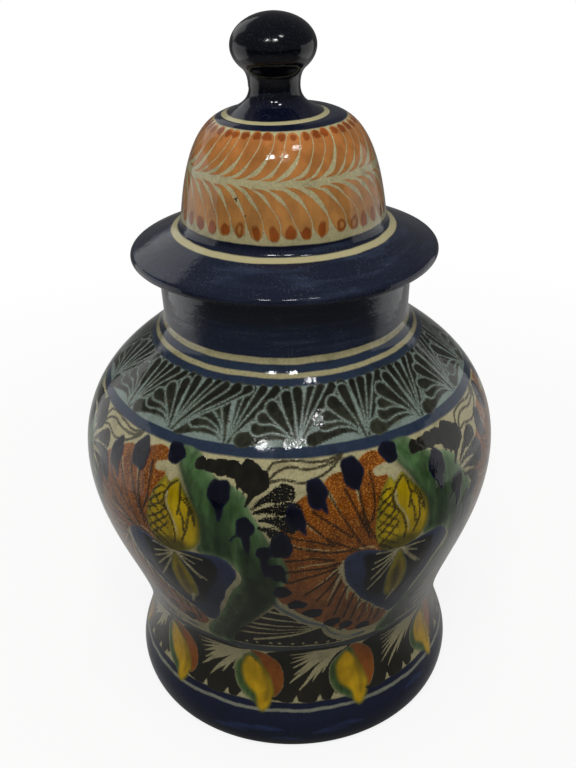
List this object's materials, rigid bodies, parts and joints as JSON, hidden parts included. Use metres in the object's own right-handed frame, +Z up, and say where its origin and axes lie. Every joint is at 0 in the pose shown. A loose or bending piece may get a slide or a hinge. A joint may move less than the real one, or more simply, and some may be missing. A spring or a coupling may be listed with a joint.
{
  "type": "majolica lidded jar",
  "caption": "Baluster jar of glazed earthenware with a waisted foot and a wide shoulder, and a bell-shaped lid with a round knob that lifts out of its mouth.",
  "frame": {"origin": "middle of the foot, on the surface the jar stands on", "axes": "+Z up along the jar's axis, through the lid; +X to the right and -Y towards the viewer in the reference view"},
  "size_m": [0.236, 0.236, 0.399],
  "materials": {
    "bare_clay": "unglazed fired earthenware, matt",
    "foot_band_glaze": "glossy tin glaze with a painted band",
    "main_band_glaze": "glossy cream tin glaze with painted ornament",
    "leaf_band_glaze": "glossy grey-blue glaze with dark brush strokes",
    "cobalt_glaze": "glossy dark cobalt glaze, faintly brushed",
    "bell_band_glaze": "glossy cream glaze with orange brush strokes",
    "black_cobalt_glaze": "thick, very glossy blue-black glaze"
  },
  "bodies": {
    "jar": {"base_slab": "bare_clay", "foot_wall": "foot_band_glaze", "belly_wall": "main_band_glaze", "shoulder_wall": "leaf_band_glaze", "neck_collar": "cobalt_glaze"},
    "lid": {"lid_brim": "cobalt_glaze", "locating_collar": "bare_clay", "lid_bell": "bell_band_glaze", "finial_stem": "black_cobalt_glaze", "finial_knob": "black_cobalt_glaze"}
  },
  "joints": [
    {"name": "lid_lift", "type": "slide", "parent": "jar", "child": "lid", "axis": [0, 0, 1], "range_m": [0, 0.15]}
  ]
}
